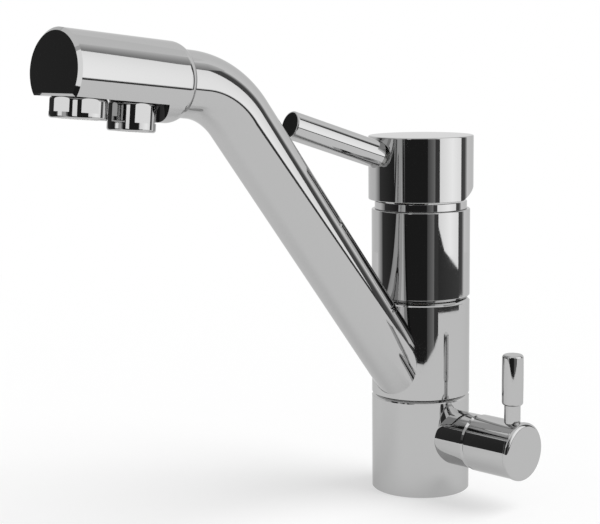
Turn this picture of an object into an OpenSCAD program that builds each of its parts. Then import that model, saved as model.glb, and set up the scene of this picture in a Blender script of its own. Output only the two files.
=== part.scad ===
// Three way filtered water tap with a swivel spout, a single lever mixer and a filtered water valve.
// The origin is the middle of the foot on the worktop, +Z is up and the spout points along -Y.

/* [Body] */
// Diameter of the base, the spout collar and the upper sleeve
body_d = 50; // [49:0.5:56]
// Height of the base
base_h = 49.6; // [49:0.1:60]
// Height of the swivelling spout collar
collar_h = 49; // [48.5:0.1:60]
// Height of the upper sleeve
sleeve_h = 45.2; // [45:0.1:60]
// Gap that the slide rings keep between base, collar and sleeve
ring_gap = 0.6; // [0.4:0.1:1]
// Bevel on the small edges of the body, the handle cap and the knob
edge_bevel = 0.7; // [0.3:0.1:1]
// Bevel where base, collar and sleeve meet, and on the end of the boss
joint_bevel = 1.3; // [0.7:0.1:1.5]
// Diameter of the neck ring under the handle cap
neck_d = 46.8; // [44:0.2:48]
// Height of the neck ring
neck_h = 4; // [2:0.1:4.2]

/* [Column and channels] */
// Diameter of the centre column inside the spout collar
column_d = 33; // [32:0.5:35]
// Diameter of the two spigots of the column
spigot_d = 25; // [24:0.5:26]
// Depth of the lower spigot in the base
spigot_depth = 12.5; // [8:0.5:13]
// Thickness of the floor of the upper sleeve
floor_h = 8; // [6:0.5:10]
// Diameter of the hot, cold and mixed water channels
channel_d = 5.2; // [4:0.1:5.6]
// Diameter of the filtered water channels
filter_channel_d = 3.6; // [2.5:0.1:4]
// Distance of the channels from the column's axis
channel_ring = 7.2; // [7:0.1:8]
// Cross section of the O-rings on the column
seal_section = 2.4; // [1.8:0.1:3]
// Running clearance between column and collar, on the radius
run_clearance = 0.06; // [0.03:0.01:0.1]
// Clearance of loose fits, on the radius
loose_clearance = 0.2; // [0.1:0.05:0.3]

/* [Inlets under the base] */
// Wall diameter of the three hose ports
port_d = 9; // [8:0.1:10]
// Depth of the hot water port, the deepest of the three
port_depth = 12; // [8:0.5:13]
// Step in depth from the hot port to the cold one, and on to the filtered water port
port_step = 0.8; // [0.4:0.1:1]
// Wall diameter of the hole for the mounting stud
stud_d = 6.8; // [5:0.1:8.5]
// Depth of the hole for the mounting stud
stud_depth = 14; // [9:0.5:15]
// Cross section of the O-ring in the foot
foot_seal_section = 2.5; // [2:0.1:3]
// Mean diameter of the O-ring in the foot
foot_seal_d = 43.5; // [42:0.5:44]

/* [Spout] */
// Outer diameter of the spout tube
tube_d = 29.6; // [26:0.2:30]
// Wall of the tube and of its bend
tube_wall = 1.6; // [1:0.1:2.5]
// Rise of the tube above the horizontal, degrees
tube_rise = 50.2; // [46:0.2:50.4]
// Height of the middle of the tube's foot above the middle of the collar
foot_lift = 1; // [0:0.05:1.25]
// Length of the tube's axis from the body's axis to the bend
tube_l = 195; // [150:1:260]
// Radius of the bend's axis
bend_r = 45; // [40:1:80]
// Length of the straight neck between the bend and the head
stub_l = 7.4; // [4:0.2:14]
// Swivel of the spout to each side, degrees
swivel_max = 60; // [20:5:70]
// Diameter of the stop pin in the collar
stop_pin_d = 2; // [1.5:0.1:2.4]

/* [Spout head] */
// Diameter of the head
head_d = 35; // [34:0.2:40]
// Length of the head from its neck to its end face
head_l = 62.8; // [61:0.2:80]
// Length of the head's rounded shoulder
shoulder_l = 5; // [3.5:0.1:6]
// Step from the neck to the foot of the shoulder, on the radius
shoulder_step = 0.2; // [0.1:0.05:0.4]
// Rise of the head towards its tip, degrees
head_rise = 5.9; // [0:0.1:12]
// Distance of the underside flat from the head's axis
flat_drop = 10; // [9.5:0.1:11]
// Distance of the flat's rear corners from the tip
flat_l = 49; // [48:0.2:50]
// Radius of the hollow wall behind the flat
pocket_r = 24; // [20:0.5:30]
// Wall of the head
head_wall = 2; // [1.5:0.1:2.5]
// Bevel around the end face, and thickness of the end plate
end_bevel = 1.4; // [1:0.1:2]
// Outer diameter of the inner tube for filtered water
hose_d = 6; // [5:0.1:6.4]
// Bore of the inner tube
hose_bore = 4; // [3:0.1:4.4]

/* [Aerators] */
// Diameter of the front aerator
front_d = 24; // [23:0.2:25]
// Visible height of the front aerator
front_h = 8.6; // [7:0.1:14]
// Distance of the front aerator from the tip
front_from_tip = 13.3; // [13:0.1:14]
// Diameter of the rear aerator
rear_d = 20.6; // [19:0.2:21]
// Visible height of the rear aerator
rear_h = 12.1; // [8:0.1:16]
// Distance of the rear aerator from the tip
rear_from_tip = 40.9; // [40:0.1:41.5]
// Wall of the aerator housings
aerator_wall = 2.2; // [1.8:0.1:2.6]
// Height of the threaded neck inside the head
aerator_neck = 6; // [4.5:0.1:6.5]
// Diameter of the spray holes
spray_d = 1.5; // [1:0.1:1.7]

/* [Mixer handle] */
// Outer diameter of the handle cap
cap_d = 53.2; // [52:0.2:56]
// Height of the handle cap
cap_h = 32.1; // [31:0.1:36]
// Gap between the neck ring and the handle cap
cap_gap = 0.9; // [0.6:0.1:1.5]
// Wall of the handle cap
cap_wall = 2.2; // [1.6:0.1:2.6]
// Start of the relief behind the handle's axis
relief_start = 6; // [4:0.5:7]
// Turn of the lever away from the spout in the photographed pose, degrees
lever_turn = 10; // [8:1:20]
// Rise of the lever, degrees
lever_rise = 17.9; // [14:0.1:24]
// Height where the lever's axis meets the handle's axis, above the cap's rim
lever_axis_h = 14.4; // [13.5:0.1:15]
// Distance of the lever's tip from the handle's axis
lever_reach = 84.5; // [60:0.5:86]
// Diameter of the lever rod
rod_d = 13.6; // [10:0.1:14]
// Bevel at the lever's tip
rod_bevel = 1; // [0.5:0.1:2]
// Diameter of the neck between rod and cap
rod_neck_d = 10.4; // [8:0.1:11]
// Distance of the rod's inner end from the handle's axis
rod_start = 29.4; // [29:0.1:34]
// Lift of the lever, degrees
lift_max = 24; // [10:1:24]

/* [Mixing cartridge] */
// Outer diameter of the cartridge housing
cartridge_d = 35; // [34.5:0.1:36]
// Wall of the cartridge housing
cartridge_wall = 2; // [1.5:0.1:2.2]
// Thickness of the seat plate under the housing
seat_plate_h = 4; // [3:0.1:4]
// Thickness of each ceramic disc
ceramic_h = 3.5; // [3:0.1:4]
// Diameter of the moving ceramic disc
moving_disc_d = 21.6; // [20:0.2:22]
// Height of the disc carrier
carrier_h = 5; // [4.5:0.1:5.5]
// Diameter of the spindle
spindle_d = 8; // [7:0.1:8.4]
// Diameter of the spindle's ball
ball_d = 5; // [4:0.1:5.4]
// Diameter of the pivot pin
pivot_d = 3; // [2.5:0.1:3.4]
// Height of the pivot in the turning carrier's drum, as a share of the drum's height
pivot_share = 0.627; // [0.6:0.005:0.65]
// Diameter of the lock nut
nut_d = 40; // [38.5:0.2:41]
// Height of the lock nut
nut_h = 4; // [3.5:0.1:5]

/* [Filter valve] */
// Height of the valve's axis above the worktop
valve_z = 29.5; // [29:0.1:30]
// Diameter of the boss on the base
boss_d = 27.4; // [26:0.2:28]
// Distance of the boss's end from the body's axis
boss_end = 38.6; // [36:0.2:40]
// Diameter of the cavity for the valve
cavity_d = 18; // [17:0.2:18.4]
// Distance of the cavity's floor from the body's axis
cavity_start = 14; // [14:0.2:15]
// Diameter of the valve's ceramic discs
valve_disc_d = 11.2; // [10:0.2:12]
// Thickness of each of the valve's ceramic discs
valve_disc_h = 2.5; // [2:0.1:3]
// Diameter of the valve's spindle
valve_spindle_d = 7; // [6:0.1:8]
// Gap between the boss and the knob
knob_gap = 0.4; // [0.3:0.1:0.8]
// Diameter of the knob
knob_d = 28.4; // [26:0.2:30]
// Length of the knob without its end cap
knob_l = 25; // [24:0.2:30]
// Thickness of the knob's end cap
knob_cap_h = 3; // [2.5:0.1:4]
// Bevel around the face of the end cap
knob_cap_bevel = 2; // [0.5:0.1:2]
// How far the end cap stands proud of the knob, on the radius
knob_cap_proud = 0.3; // [0:0.1:1]
// Quarter turn of the knob, degrees
knob_turn = 90; // [60:5:90]
// Distance of the lever's axis from the body's axis
stem_x = 59; // [57:0.2:59]
// Diameter of the lever's stem
stem_d = 8; // [6:0.1:9]
// Height of the grip's lower end above the valve's axis
grip_start = 22.5; // [20:0.1:26]
// Diameter of the grip
grip_d = 10.6; // [9.5:0.1:13]
// Length of the grip
grip_l = 25.3; // [15:0.1:40]
// Rounding of the grip's two ends
grip_round = 1.5; // [0.5:0.1:2]

/* [Hidden] */

$fn = 96;
// Overrun of every cut
cut = 1;
// Length that reaches across the whole tap
across = 2 * (tube_l + head_l);

// Colours of the finishes
chrome = [0.78, 0.79, 0.8];
brass = [0.8, 0.68, 0.38];
rubber = [0.12, 0.12, 0.12];
plastic = [0.9, 0.9, 0.88];
ceramic = [0.96, 0.95, 0.92];
steel = [0.6, 0.61, 0.62];

// Levels of the body
collar_z = base_h + ring_gap;
collar_top = collar_z + collar_h;
sleeve_z = collar_top + ring_gap;
seat_z = sleeve_z + floor_h;
sleeve_top = sleeve_z + sleeve_h;
neck_top = sleeve_top + neck_h;
cap_z = neck_top + cap_gap;
socket_z = base_h - spigot_depth;
body_r = body_d / 2;
column_r = column_d / 2;

// Slide rings above and below the spout collar
slide_ring_w = 3.4;
slide_seat = 1.4;
slide_play = 0.05;
slide_ring_d = column_d + 2 * slide_ring_w;

// Column: the grooves' heights are shares of the collar's height
seal_low_share = 0.08;
filter_groove_share = 0.305;
seal_middle_share = 0.43;
mixed_groove_share = 0.62;
seal_high_share = 0.86;
filter_groove_h = 1.6 * filter_channel_d;
mixed_groove_h = 1.8 * channel_d;
groove_depth = 2.4;
groove_slack = 0.1;
hot_angle = 150;
cold_angle = 30;
mixed_angle = 270;

// Places of the ports and of the stud hole on the underside
hot_port = [-port_d * 1.06, port_d * 0.72, port_depth];
cold_port = [port_d * 1.06, port_d * 0.72, port_depth - port_step];
filter_port = [port_d * 0.5, -port_d * 1.1, port_depth - 2 * port_step];
stud_place = [-port_d * 1.06, -port_d * 0.8];

// Spout tube, bend and stop
turn = tube_rise - head_rise;
tube_r = tube_d / 2;
tube_bore = tube_d - 2 * tube_wall;
tube_axis_z = collar_z + collar_h / 2 + foot_lift - body_r * tan(tube_rise);
hose_drop = 7;
mixed_port_d = 1.5 * channel_d;
stop_from_edge = 3;
stop_ring_r = body_r - stop_from_edge;
stop_pin_out = 2.4;
stop_pin_in = 4;
stop_slack = 0.3;

// Spout head
head_r = head_d / 2;
shoulder = head_r - tube_r - shoulder_step;
shoulder_r = (shoulder_l * shoulder_l + shoulder * shoulder) / (2 * shoulder);
shell_l = head_l - end_bevel;
rear_wall = 3;
flat_half = sqrt(head_r * head_r - flat_drop * flat_drop);
pocket_z = head_l - flat_l + sqrt(pocket_r * pocket_r - flat_half * flat_half);
manifold_gap = 0.15;
plenum_l = 1.5;
manifold_start = rear_wall + plenum_l;
mixed_duct_d = 9;
mixed_duct_rise = 4;
mixed_drop_d = 12;
filter_duct_drop = 4.6;
filter_duct_run = 3.5;

// Aerators
neck_step = 1.5;
front_rim_h = 2.6;
rear_rim_h = 3.8;
hexagon_share = 0.95;
hexagon_turn = 43;
housing_round = 1.2;
housing_lip = 1;
washer_h = 1;
insert_gap = 0.1;
spray_rows = 3;
spray_pitch_share = 0.3;

// Mixing cartridge
fixed_disc_z = seat_z + seat_plate_h;
moving_disc_z = fixed_disc_z + ceramic_h;
carrier_z = moving_disc_z + ceramic_h;
housing_top = sleeve_top - nut_h;
cartridge_h = housing_top - fixed_disc_z;
housing_bore = cartridge_d - 2 * cartridge_wall;
housing_lid = 3;
seat_seal_section = 1.6;
seat_seal_d = channel_d + seat_seal_section + 2 * groove_slack;
socket_floor = 1.2;
ball_clearance = 0.15;
ball_z = carrier_z + socket_floor + ball_clearance + ball_d / 2;
ball_neck_step = 0.8;
drum_z = carrier_z + carrier_h + loose_clearance;
drum_top = housing_top - housing_lid - loose_clearance;
pivot_z = drum_z + pivot_share * (drum_top - drum_z);
drum_neck_d = moving_disc_d;
slot_wall = 1.6;
pin_from_drum = 1;
pin_l = housing_bore - 2 * pin_from_drum;
mixing_hollow_d = 15;
nut_wall = 6.5;
nut_thread_step = 3;
notch_w = 4;
neck_wall = 4.9;

// Mixer handle
relief_spare = 1;
relief_angle = lift_max + relief_spare;
hub_d = 16;
hub_rise = 7.2;
hub_z = cap_z + hub_rise;
spindle_in_cap = 22;
spindle_top = cap_z + spindle_in_cap;
lever_z = cap_z + lever_axis_h;
cap_top_wall = 3;
stud_d_share = 0.58;
stud_shank_d = stud_d_share * rod_neck_d;
stud_in_rod = 10;

// Filter valve
pocket_ledge = 1;
pocket_depth = 2.5;
headwork_flange_w = 2;
headwork_flange_h = 2;
headwork_recess = 2.6;
headwork_end = boss_end - headwork_recess;
barrel_wall = 1.6;
window_d = 4;
tongue_w = 5;
tongue_h = 3;
disc_play = 0.1;
sector = 80;
valve_seal_section = 1.8;
valve_seal_z = headwork_end - headwork_flange_h - 2 * valve_seal_section;
knob_start = boss_end + knob_gap;
knob_end = knob_start + knob_l;
knob_wall = 2.4;
cap_spigot_l = 2;
spline_l = 12;
stem_screw_d = 5;
grub_d = 4;
grub_l = 4;

// A turned disc on z = 0 with a bevel on its lower and upper edge
module turned(d, h, low = 0, top = 0) {
    lower = low > 0 ? [[d / 2 - low, 0], [d / 2, low]] : [[d / 2, 0]];
    upper = top > 0 ? [[d / 2, h - top], [d / 2 - top, h]] : [[d / 2, h]];
    rotate_extrude() polygon(concat([[0, 0]], lower, upper, [[0, h]]));
}

// A flat ring on z = 0
module ring(d, bore, h) {
    difference() {
        cylinder(d = d, h = h);
        translate([0, 0, -cut]) cylinder(d = bore, h = h + 2 * cut);
    }
}

// A pin with round ends on z = 0
module round_pin(d, h, r) {
    rotate_extrude() intersection() {
        square([d / 2, h]);
        union() {
            translate([0, r]) square([d / 2, h - 2 * r]);
            square([d / 2 - r, h]);
            for (level = [r, h - r]) translate([d / 2 - r, level]) circle(r = r);
        }
    }
}

// An O-ring around the z axis
module o_ring(mean_d, section) {
    rotate_extrude() translate([mean_d / 2, 0]) circle(d = section, $fn = 32);
}

// A groove cut into a shaft of the given diameter, centred on z = 0
module shaft_groove(d, depth, h) {
    translate([0, 0, -h / 2]) ring(d + 2 * cut, d - 2 * depth, h);
}

// A drilling from one point to another
module drilling(from, to, d) {
    run = to - from;
    length = norm(run);
    translate(from) rotate([0, acos(run[2] / length), atan2(run[1], run[0])])
        cylinder(d = d, h = length);
}

function on_ring(angle, z) = [channel_ring * cos(angle), channel_ring * sin(angle), z];
function collar_level(share) = collar_z + share * collar_h;

// Frames: local z runs along the part's axis, local y points to its lower side
module at_spout() {
    translate([0, 0, tube_axis_z]) rotate([tube_rise - 90, 0, 180]) children();
}
module at_bend() {
    at_spout() translate([0, 0, tube_l]) children();
}
module at_neck() {
    at_bend() translate([0, bend_r, 0]) rotate([-turn, 0, 0]) translate([0, -bend_r, 0]) children();
}
module at_head() {
    at_neck() translate([0, 0, stub_l]) children();
}
module at_aerator(from_tip) {
    at_head() translate([0, flat_drop, head_l - from_tip]) rotate([-90, 0, 0]) children();
}
module at_lever() {
    rotate([0, 0, -lever_turn]) children();
}
module at_rod() {
    at_lever() translate([0, 0, lever_z]) rotate([90 - lever_rise, 0, 0]) children();
}
module at_valve() {
    translate([0, 0, valve_z]) rotate([0, 90, 0]) children();
}
module at_stem() {
    at_valve() translate([0, 0, stem_x]) rotate([0, -90, 0]) children();
}

// The bend's sweep of a flat shape
module bend_sweep() {
    at_bend() translate([0, bend_r, 0]) rotate([90, 0, -90]) rotate_extrude(angle = turn)
        translate([bend_r, 0]) children();
}

// Space inside the spout collar's outer face
module collar_space() {
    translate([0, 0, -cut]) cylinder(d = body_d, h = across);
}

module base_body() color(chrome) difference() {
    union() {
        turned(body_d, base_h, edge_bevel / 2, joint_bevel);
        at_valve() turned(boss_d, boss_end, 0, joint_bevel);
    }
    translate([0, 0, socket_z]) cylinder(d = spigot_d, h = spigot_depth + cut);
    translate([0, 0, base_h - slide_seat]) cylinder(d = slide_ring_d, h = slide_seat + cut);
    // groove for the O-ring in the foot
    ring_groove_w = foot_seal_section + 2 * groove_slack;
    translate([0, 0, -cut]) ring(foot_seal_d + ring_groove_w, foot_seal_d - ring_groove_w,
        foot_seal_section + cut);
    // ports and stud hole in the foot
    for (port = [hot_port, cold_port, filter_port]) translate([port[0], port[1], -cut])
        cylinder(d = port_d, h = port[2] + cut);
    translate([stud_place[0], stud_place[1], -cut]) cylinder(d = stud_d, h = stud_depth + cut);
    // water channels up to the column
    drilling(hot_port - [0, 0, cut], on_ring(hot_angle, socket_z + cut), channel_d);
    drilling(cold_port - [0, 0, cut], on_ring(cold_angle, socket_z + cut), channel_d);
    // filtered water to the pocket under the valve's discs, and back from the cavity's edge
    return_z = valve_z + filter_channel_d / 2;
    drilling(filter_port - [0, 0, cut],
        [cavity_start - pocket_depth / 2, 0, valve_z - filter_channel_d / 2], filter_channel_d);
    drilling(on_ring(mixed_angle, return_z), on_ring(mixed_angle, socket_z + cut),
        filter_channel_d);
    drilling(on_ring(mixed_angle, return_z), [cavity_start + cut, -channel_ring, return_z],
        filter_channel_d);
    at_valve() {
        translate([0, 0, cavity_start - pocket_depth])
            cylinder(d = valve_disc_d - 2 * pocket_ledge, h = pocket_depth + cut);
        translate([0, 0, cavity_start]) cylinder(d = cavity_d, h = across);
        translate([0, 0, headwork_end - headwork_flange_h])
            cylinder(d = cavity_d + 2 * headwork_flange_w, h = across);
    }
    // arc slot for the stop pin
    slot_angle = 2 * (swivel_max + asin((stop_pin_d / 2 + stop_slack) / stop_ring_r));
    slot_w = stop_pin_d + 2 * loose_clearance;
    translate([0, 0, base_h + ring_gap - stop_pin_out - stop_slack]) rotate(90 - slot_angle / 2)
        rotate_extrude(angle = slot_angle) translate([stop_ring_r - slot_w / 2, 0])
            square([slot_w, stop_pin_out + cut]);
}

module foot_seal() color(rubber)
    translate([0, 0, foot_seal_section / 2]) o_ring(foot_seal_d, foot_seal_section);

module centre_column() color(brass) difference() {
    union() {
        translate([0, 0, socket_z]) cylinder(d = spigot_d, h = seat_z - socket_z);
        translate([0, 0, base_h - slide_seat])
            cylinder(d = column_d, h = sleeve_z - base_h + 2 * slide_seat);
    }
    for (share = [seal_low_share, seal_middle_share, seal_high_share])
        translate([0, 0, collar_level(share)])
            shaft_groove(column_d, groove_depth, seal_section + 2 * groove_slack);
    translate([0, 0, collar_level(filter_groove_share)])
        shaft_groove(column_d, groove_depth, filter_groove_h);
    translate([0, 0, collar_level(mixed_groove_share)])
        shaft_groove(column_d, groove_depth, mixed_groove_h);
    for (angle = [hot_angle, cold_angle])
        drilling(on_ring(angle, socket_z - cut), on_ring(angle, seat_z + cut), channel_d);
    mixed_z = collar_level(mixed_groove_share);
    drilling(on_ring(mixed_angle, mixed_z), on_ring(mixed_angle, seat_z + cut), channel_d);
    drilling(on_ring(mixed_angle, mixed_z), [0, -column_r - cut, mixed_z], channel_d);
    filter_z = collar_level(filter_groove_share);
    drilling(on_ring(mixed_angle, socket_z - cut), on_ring(mixed_angle, filter_z),
        filter_channel_d);
    drilling(on_ring(mixed_angle, filter_z), [0, -column_r - cut, filter_z], filter_channel_d);
}

module column_seal(share) color(rubber)
    translate([0, 0, collar_level(share)]) o_ring(column_d - seal_section, seal_section);
module column_seal_low() column_seal(seal_low_share);
module column_seal_middle() column_seal(seal_middle_share);
module column_seal_high() column_seal(seal_high_share);

module slide_ring() color(plastic)
    ring(slide_ring_d, column_d, slide_seat + ring_gap - slide_play);
module slide_ring_low() translate([0, 0, base_h - slide_seat]) slide_ring();
module slide_ring_high() translate([0, 0, collar_top + slide_play]) slide_ring();

module upper_sleeve() color(chrome) difference() {
    translate([0, 0, sleeve_z]) turned(body_d, sleeve_h, joint_bevel, edge_bevel);
    translate([0, 0, sleeve_z - cut]) cylinder(d = spigot_d, h = floor_h + 2 * cut);
    translate([0, 0, sleeve_z - cut]) cylinder(d = slide_ring_d, h = slide_seat + cut);
    translate([0, 0, seat_z]) cylinder(d = cartridge_d + 2 * loose_clearance, h = sleeve_h);
    translate([0, 0, housing_top - nut_thread_step]) cylinder(d = nut_d, h = sleeve_h);
}

module cartridge_seat_plate() color(plastic) difference() {
    translate([0, 0, seat_z]) cylinder(d = cartridge_d - 2 * loose_clearance, h = seat_plate_h);
    for (angle = [hot_angle, cold_angle, mixed_angle]) {
        drilling(on_ring(angle, seat_z - cut), on_ring(angle, fixed_disc_z + cut), channel_d);
        translate(on_ring(angle, seat_z - cut))
            cylinder(d = seat_seal_d + seat_seal_section + 2 * groove_slack,
                h = seat_seal_section + cut);
    }
}

module seat_seal(angle) color(rubber)
    translate(on_ring(angle, seat_z + seat_seal_section / 2))
        o_ring(seat_seal_d, seat_seal_section);
module seat_seal_hot() seat_seal(hot_angle);
module seat_seal_cold() seat_seal(cold_angle);
module seat_seal_mixed() seat_seal(mixed_angle);

module fixed_disc() color(ceramic) difference() {
    translate([0, 0, fixed_disc_z])
        cylinder(d = housing_bore - 2 * loose_clearance, h = ceramic_h);
    for (angle = [hot_angle, cold_angle, mixed_angle])
        drilling(on_ring(angle, fixed_disc_z - cut), on_ring(angle, moving_disc_z + cut),
            channel_d);
}

module cartridge_housing() color(plastic) difference() {
    translate([0, 0, fixed_disc_z]) turned(cartridge_d, cartridge_h, 0, edge_bevel);
    translate([0, 0, fixed_disc_z - cut])
        cylinder(d = housing_bore, h = cartridge_h - housing_lid + cut);
    cylinder(d = drum_neck_d + 2 * loose_clearance, h = across);
}

module lock_nut() color(brass) {
    nut_bore = nut_d - 2 * nut_wall;
    translate([0, 0, housing_top]) difference() {
        cylinder(d = nut_d - 2 * run_clearance, h = nut_h);
        translate([0, 0, -cut]) cylinder(d = nut_bore, h = nut_h + 2 * cut);
        // four notches for the spanner
        for (angle = [0 : 90 : 270]) rotate(angle) translate([0, -notch_w / 2, nut_h / 2])
            cube([nut_bore / 2 + notch_w / 2, notch_w, nut_h]);
    }
}

module neck_ring() color(chrome) difference() {
    translate([0, 0, sleeve_top]) turned(neck_d, neck_h, 0, edge_bevel);
    translate([0, 0, sleeve_top - cut]) cylinder(d = neck_d - 2 * neck_wall, h = neck_h + 2 * cut);
}

module spout_collar() color(chrome) difference() {
    translate([0, 0, collar_z]) turned(body_d, collar_h, edge_bevel / 2, joint_bevel);
    translate([0, 0, collar_z - cut])
        cylinder(d = column_d + 2 * run_clearance, h = collar_h + 2 * cut);
    mixed_z = collar_level(mixed_groove_share);
    drilling([0, 0, mixed_z], [0, -body_d, mixed_z], mixed_port_d);
    hose_foot_z = collar_level(filter_groove_share);
    drilling([0, 0, hose_foot_z], [0, -body_d, hose_foot_z], filter_channel_d);
    translate([0, stop_ring_r, collar_z - cut]) cylinder(d = stop_pin_d, h = stop_pin_in + cut);
}

module stop_pin() color(steel) translate([0, stop_ring_r, collar_z - stop_pin_out])
    cylinder(d = stop_pin_d, h = stop_pin_out + stop_pin_in);

module spout_tube() color(chrome) difference() {
    at_spout() cylinder(d = tube_d, h = tube_l);
    at_spout() translate([0, 0, -cut]) cylinder(d = tube_bore, h = tube_l + 2 * cut);
    collar_space();
}

module spout_bend() color(chrome) difference() {
    bend_sweep() circle(d = tube_d);
    bend_sweep() circle(d = tube_bore);
}
module head_neck() color(chrome) at_neck() ring(tube_d, tube_bore, stub_l);

// The part of the head that the underside flat takes away, grown by the wall
module below_flat(wall) {
    translate([-head_d, flat_drop - wall, pocket_z]) cube([2 * head_d, head_d, head_l]);
    translate([0, flat_drop - wall, pocket_z]) rotate([-90, 0, 0])
        cylinder(r = pocket_r + wall, h = head_d);
}

// The head's outer form from the shoulder to the given length
module head_form(length) {
    rotate_extrude() intersection() {
        square([head_r, length]);
        union() {
            translate([0, shoulder_l]) square([head_r, length]);
            square([head_r - shoulder_r, length]);
            translate([head_r - shoulder_r, shoulder_l]) circle(r = shoulder_r);
        }
    }
}

module head_shell() color(chrome) at_head() difference() {
    head_form(shell_l);
    below_flat(0);
    translate([0, 0, -cut]) cylinder(d = tube_bore, h = rear_wall + 2 * cut);
    difference() {
        translate([0, 0, rear_wall]) cylinder(d = head_d - 2 * head_wall, h = head_l);
        below_flat(head_wall);
    }
    for (place = [[front_from_tip, front_d], [rear_from_tip, rear_d]])
        translate([0, 0, head_l - place[0]]) rotate([-90, 0, 0])
            cylinder(d = place[1] - 2 * neck_step, h = head_d);
}

module head_end_plate() color(chrome) at_head() difference() {
    translate([0, 0, shell_l]) turned(head_d, end_bevel, 0, end_bevel);
    below_flat(0);
    translate([0, flat_drop, head_l]) rotate([45, 0, 0])
        cube([2 * head_d, end_bevel, end_bevel], center = true);
}

module inner_tube() color(plastic) difference() {
    union() {
        at_spout() translate([0, hose_drop, 0]) cylinder(d = hose_d, h = tube_l);
        bend_sweep() translate([-hose_drop, 0]) circle(d = hose_d);
        at_neck() translate([0, hose_drop, 0]) cylinder(d = hose_d, h = stub_l + manifold_start);
    }
    at_spout() translate([0, hose_drop, -cut]) cylinder(d = hose_bore, h = tube_l + cut);
    bend_sweep() translate([-hose_drop, 0]) circle(d = hose_bore);
    at_neck() translate([0, hose_drop, 0])
        cylinder(d = hose_bore, h = stub_l + manifold_start + cut);
    collar_space();
}

module outlet_manifold() color(plastic) at_head() difference() {
    translate([0, 0, manifold_start])
        cylinder(d = head_d - 2 * head_wall - 2 * manifold_gap, h = shell_l - manifold_start);
    below_flat(head_wall + manifold_gap);
    // mixed water runs over the rear aerator to the front one
    translate([0, -mixed_duct_rise, manifold_start - cut])
        cylinder(d = mixed_duct_d, h = head_l - front_from_tip - manifold_start + cut);
    translate([0, -mixed_duct_rise - mixed_drop_d / 2, head_l - front_from_tip])
        rotate([-90, 0, 0]) cylinder(d = mixed_drop_d, h = head_d);
    translate([0, flat_drop - aerator_neck, head_l - front_from_tip]) rotate([-90, 0, 0])
        cylinder(d = front_d - 2 * neck_step + 2 * manifold_gap, h = head_d);
    // filtered water runs to the rear one
    duct_z = manifold_start + filter_duct_run;
    drilling([0, hose_drop, manifold_start - cut], [0, filter_duct_drop, duct_z],
        filter_channel_d);
    drilling([0, filter_duct_drop, duct_z - filter_channel_d / 2],
        [0, filter_duct_drop, head_l - rear_from_tip], filter_channel_d + 2 * loose_clearance);
    translate([0, flat_drop - aerator_neck, head_l - rear_from_tip]) rotate([-90, 0, 0])
        cylinder(d = rear_d - 2 * neck_step + 2 * manifold_gap, h = head_d);
}

// A housing with a hexagon for the spanner, a round lower rim and a threaded neck
module aerator_housing(d, h, rim_h) {
    bore = d - 2 * neck_step - 2 * aerator_wall;
    difference() {
        union() {
            intersection() {
                round_pin(d, h, housing_round);
                union() {
                    rotate(hexagon_turn) cylinder(d = hexagon_share * d / cos(30), h = h, $fn = 6);
                    translate([0, 0, h - rim_h]) cylinder(d = d, h = rim_h);
                }
            }
            translate([0, 0, washer_h - aerator_neck])
                cylinder(d = d - 2 * neck_step, h = aerator_neck);
        }
        translate([0, 0, -aerator_neck]) cylinder(d = bore, h = aerator_neck + h + cut);
        translate([0, 0, -aerator_neck])
            cylinder(d = bore + 2 * housing_lip, h = aerator_neck + h - housing_lip);
    }
}

// A jet former: a cup whose face carries rings of spray holes
module aerator_insert(d, h) {
    bore = d - 2 * neck_step - 2 * aerator_wall;
    inner_end = h - housing_lip;
    cup_start = washer_h - aerator_neck;
    difference() {
        union() {
            translate([0, 0, cup_start])
                cylinder(d = bore + 2 * housing_lip - 2 * insert_gap, h = inner_end - cup_start);
            cylinder(d = bore - 2 * insert_gap, h = h - insert_gap);
        }
        translate([0, 0, cup_start - cut])
            cylinder(d = bore - 2 * housing_lip, h = inner_end - housing_lip - cup_start + cut);
        for (row = [0 : spray_rows - 1]) {
            spots = row == 0 ? 1 : 6 * row;
            for (spot = [0 : spots - 1]) rotate(spot * 360 / spots)
                translate([row * spray_pitch_share * bore / 2, 0, 0])
                    cylinder(d = spray_d, h = h + cut, $fn = 24);
        }
    }
}

module aerator_washer(d) {
    bore = d - 2 * neck_step - 2 * aerator_wall;
    translate([0, 0, -aerator_neck])
        ring(d - 2 * neck_step, bore, washer_h);
}

module aerator_housing_front() color(chrome)
    at_aerator(front_from_tip) aerator_housing(front_d, front_h, front_rim_h);
module aerator_insert_front() color(plastic)
    at_aerator(front_from_tip) aerator_insert(front_d, front_h);
module aerator_washer_front() color(rubber) at_aerator(front_from_tip) aerator_washer(front_d);
module aerator_housing_rear() color(chrome)
    at_aerator(rear_from_tip) aerator_housing(rear_d, rear_h, rear_rim_h);
module aerator_insert_rear() color(plastic)
    at_aerator(rear_from_tip) aerator_insert(rear_d, rear_h);
module aerator_washer_rear() color(rubber) at_aerator(rear_from_tip) aerator_washer(rear_d);

// The spindle swings in a slot of this carrier, about the pivot pin
module turning_carrier() color(plastic) at_lever() difference() {
    union() {
        translate([0, 0, drum_z]) cylinder(d = housing_bore - 2 * loose_clearance,
            h = drum_top - drum_z);
        translate([0, 0, drum_z]) cylinder(d = drum_neck_d, h = housing_top - drum_z);
    }
    slot_w = spindle_d + 2 * loose_clearance;
    slot_l = drum_neck_d - 2 * slot_wall;
    translate([-slot_w / 2, -slot_l / 2, drum_z - cut]) cube([slot_w, slot_l, across]);
    translate([-pin_l / 2, 0, pivot_z]) rotate([0, 90, 0]) cylinder(d = pivot_d, h = pin_l);
}

module pivot_pin() color(steel) at_lever() translate([-pin_l / 2, 0, pivot_z]) rotate([0, 90, 0])
    cylinder(d = pivot_d, h = pin_l);

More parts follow.
